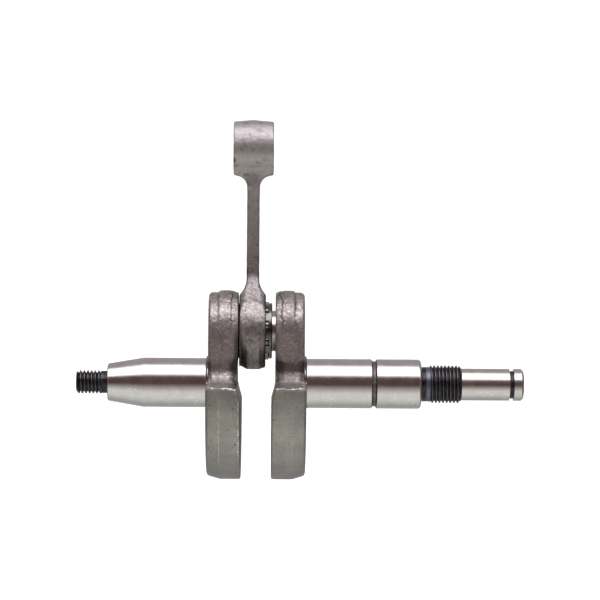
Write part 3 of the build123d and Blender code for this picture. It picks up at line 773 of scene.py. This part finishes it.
mesh = web_mesh("flywheel_web", "flywheel_crank_half", -1, 40, **flywheel_looks)
flywheel_web = new_object("flywheel_web", mesh, "crank", "flywheel_crank_half")
mesh = web_mesh("clutch_web", "clutch_crank_half", 1, 90, **clutch_looks)
clutch_web = new_object("clutch_web", mesh, "crank", "clutch_crank_half")


# ---------------------------------------------------------------- connecting rod


def rod_mesh():
    """Rod forging with blended flares, trimmed flash band and fine relief."""
    mesh = remeshed("rod_forging", "connecting_rod", 0.25)
    p, _ = read_points(mesh)
    big = np.hypot(p[:, 1], p[:, 2] - THROW)
    small = np.hypot(p[:, 1], p[:, 2] - SMALL_END_Z)
    near_bore = np.maximum(1 - step(10.4, 11.0, big), 1 - step(7.4, 8.0, small))
    relaxed(mesh, 5, 1 - near_bore)
    p, n = read_points(mesh)
    big, small = (np.hypot(p[:, 1], p[:, 2] - centre) for centre in (THROW, SMALL_END_Z))
    near_bore = np.maximum(1 - step(10.4, 11.0, big), 1 - step(7.4, 8.0, small))
    lower_blend = step(24.0, 27.0, p[:, 2]) * step(40.0, 37.0, p[:, 2])
    upper_blend = step(66.0, 69.0, p[:, 2]) * step(78.5, 76.5, p[:, 2])
    blend = step(0.35, 0.75, np.abs(n[:, 1])) * (0.4 * lower_blend + upper_blend) * (1 - near_bore)
    relaxed(mesh, 110, blend)
    p, n = read_points(mesh)
    across = p[:, 0] - ROD_X
    flat = p * (0.0, 1, 1)
    wander = 0.25 * fractal(flat, 6.0, 160) + 0.12 * fractal(flat, 1.5, 165)
    outside = (1 - near_bore) * (1 - step(0.6, 0.9, np.abs(n[:, 0])))
    at_big = 1 - step(14.0, 17.0, big)
    at_small = 1 - step(10.0, 12.0, small)
    off_band = np.abs(across + 0.5)
    facet = band_of(off_band, 2.15 + wander, 0.25) * at_big
    parting = band_of(across, 0.3 + wander, 0.35)
    lumps = 0.10 * fractal(p, 4.5, 140) + 0.04 * fractal(p, 1.2, 150)
    relief = lumps * (1 - near_bore)
    relief += outside * (0.05 * parting - 0.07 * facet)
    low_side = step(THROW + 4, THROW - 9, p[:, 2]) * at_big
    relief -= low_side * outside * 0.62 * np.clip((-across - 1.0) / 3.5, 0, 1) ** 1.5
    nick = step(0.8, 0.35, np.linalg.norm((p - (ROD_X - 6.8, -8.3, 76.2)) * (1, 0.5, 0.55), axis=1))
    relief -= 0.35 * nick
    write_points(mesh, p + n * relief[:, None])
    chips = step(-0.3, 0.5, fractal(p, 2.0, 170))
    # Painted shade on the flare's sides, leaving a lit strip down its middle that narrows upwards
    strip = np.interp(p[:, 2], (25.0, 28.4, 31.2, 34.0, 38.0), (3.6, 2.5, 1.9, 1.4, 0.9))
    in_flare = step(23.5, 26.0, p[:, 2]) * step(42.0, 38.0, p[:, 2])
    flare_side_shade = step(0.0, 1.1, np.abs(across) - strip) * in_flare
    put_field(mesh, "wear_and_sheen", outside * chips * (0.5 * facet * at_big + 0.35 * parting * at_small))
    # Painted shade in the big end's grooves and on its lower side
    crevice_shade = 0.5 * band_of(np.abs(across), 4.5, 0.7) * at_big + 0.12 * step(2.0, 2.6, off_band) * low_side
    # Random dark patches, together with that painted shade
    patches_and_shade = np.maximum(step(0.05, 0.4, -fractal(p, 3.0, 180)) * 0.42, crevice_shade)
    # Painted shade: dims the highlight on the big end's top and darkens the small end's underside
    painted_rod_shade = 0.12 * at_big * step(20.0, 26.0, p[:, 2])
    painted_rod_shade += 0.16 * step(77.5, 74.5, p[:, 2]) * step(68.5, 70.5, p[:, 2])
    put_field(mesh, "grime_and_shade", (patches_and_shade + 0.75 * flare_side_shade + painted_rod_shade + 2.0 * nick) * (1 - near_bore))
    mesh.polygons.foreach_set("use_smooth", [True] * len(mesh.polygons))

    def zone(c, m):
        bore_big = np.hypot(c[:, 1], c[:, 2] - THROW) < 10.15
        bore_small = np.hypot(c[:, 1], c[:, 2] - SMALL_END_Z) < 7.15
        return bore_big | bore_small

    paint(mesh, [ROD, PIN], zone)
    return mesh


connecting_rod = new_object("rod_forging", rod_mesh(), "rod", "connecting_rod")


# ---------------------------------------------------------------- carried-over solids


def repaint(node, material):
    """Gives a CAD node's own mesh a material."""
    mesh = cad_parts[node].data
    for index in range(max(1, len(mesh.materials))):
        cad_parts[node].material_slots[index].material = material


repaint("crank_pin", PIN)
repaint("big_end_cage", CAGE)
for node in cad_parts:
    if node.startswith("needle_"):
        repaint(node, NEEDLE_OILED_AND_SHADED)


# ---------------------------------------------------------------- studio


# Brightness of each part of the studio
SOFTBOX = (3.3, 3.2, 3.4)
CEILING = (0.45, 0.42, 0.42)
BACKDROP = (0.5, 0.5, 0.5)
FLOOR_GLOW = (1.0, 1.0, 0.95)
DARK_ROOM = (0.12, 0.07, 0.06)
DARK_SIDES = (0.16, 0.15, 0.15)
BRIGHTEST = 4.0


def studio_world():
    """Plain studio: wide softbox above and in front, dim room behind the camera, pale surround."""
    world = bpy.data.worlds.new("studio")
    bpy.context.scene.world = world
    world.use_nodes = True
    tree = world.node_tree
    tree.nodes.clear()

    def node(kind, links=None, **settings):
        made = tree.nodes.new("ShaderNode" + kind)
        for key, value in settings.items():
            setattr(made, key, value)
        for socket, value in (links or {}).items():
            if isinstance(value, bpy.types.NodeSocket):
                tree.links.new(value, made.inputs[socket])
            else:
                made.inputs[socket].default_value = value
        return made

    direction = node("TexCoord").outputs["Generated"]
    split = node("SeparateXYZ", {0: direction}).outputs
    toward = node("Math", {0: split[1], 1: -1.0}, operation="MULTIPLY").outputs[0]
    angle = node("Math", {0: split[2], 1: toward}, operation="ARCTAN2").outputs[0]
    turn = node("MapRange", {"Value": angle, "From Min": -math.pi, "From Max": math.pi}).outputs[0]
    ramp = node("ValToRGB", {0: turn})
    # Degrees about X, from straight ahead of the part upwards
    stops = [
        (-180, BACKDROP),
        (-120, BACKDROP),
        (-75, FLOOR_GLOW),
        (-45, FLOOR_GLOW),
        (-5, DARK_ROOM),
        (33, DARK_ROOM),
        (50, SOFTBOX),
        (75, SOFTBOX),
        (98, CEILING),
        (140, CEILING),
        (180, BACKDROP),
    ]
    elements = ramp.color_ramp.elements
    while len(elements) < len(stops):
        elements.new(0.5)
    for element, (degrees, colour) in zip(elements, stops):
        element.position = (degrees + 180) / 360
        element.color = (*[c / BRIGHTEST for c in colour], 1)
    sideways = node("Math", {0: split[0]}, operation="ABSOLUTE").outputs[0]
    falloff = {"Value": sideways, "From Min": 0.55, "From Max": 0.92}
    aside = node("MapRange", falloff, interpolation_type="SMOOTHSTEP")
    dim = (*[c / BRIGHTEST for c in DARK_SIDES], 1)
    blend = {"Factor": aside.outputs[0], 6: ramp.outputs[0], 7: dim}
    around = node("Mix", blend, data_type="RGBA").outputs[2]
    lit = node("Background", {"Color": around, "Strength": BRIGHTEST})
    white = node("Background", {"Color": (1, 1, 1, 1), "Strength": 1.1})
    seen = node("LightPath").outputs["Is Camera Ray"]
    both = node("MixShader", {0: seen, 1: lit.outputs[0], 2: white.outputs[0]})
    node("OutputWorld", {0: both.outputs[0]})


def pale_floor(height):
    """Wide pale floor under the part."""
    mesh = bpy.data.meshes.new("floor")
    reach = 6.0
    mesh.from_pydata(
        [(x, y, height) for x, y in ((-reach, -reach), (reach, -reach), (reach, reach), (-reach, reach))],
        [],
        [(0, 1, 2, 3)],
    )
    floor = bpy.data.objects.new("floor", mesh)
    bpy.context.scene.collection.objects.link(floor)
    s = Shader("floor_paper", Roughness=0.9, Emission_Color=(1, 1, 1, 1), Emission_Strength=0.22)
    tone = s.noise(s.scaled(12, 12, 12), detail=2.0)
    mesh.materials.append(s.feed(Base_Color=s.mix(tone, (0.90, 0.90, 0.90, 1), (0.93, 0.93, 0.93, 1))))
    floor.visible_glossy = False
    return floor


def photo_camera():
    """Long lens level with the crank, turned by the small tilt the part has in the frame."""
    lens = bpy.data.cameras.new("camera")
    distance = 0.85
    width = 0.207
    lens.sensor_width = 36
    lens.lens = 36 * distance / width
    camera = bpy.data.objects.new("camera", lens)
    bpy.context.scene.collection.objects.link(camera)
    camera.location = (0.004, -distance, 0.02866)
    lens.shift_x = 0.0524
    camera.rotation_euler = (math.radians(90), math.radians(-0.42), 0)
    lens.clip_start, lens.clip_end = 0.01, 50
    bpy.context.scene.camera = camera


studio_world()
pale_floor(-0.12)
photo_camera()
bpy.context.scene.view_settings.view_transform = "Standard"
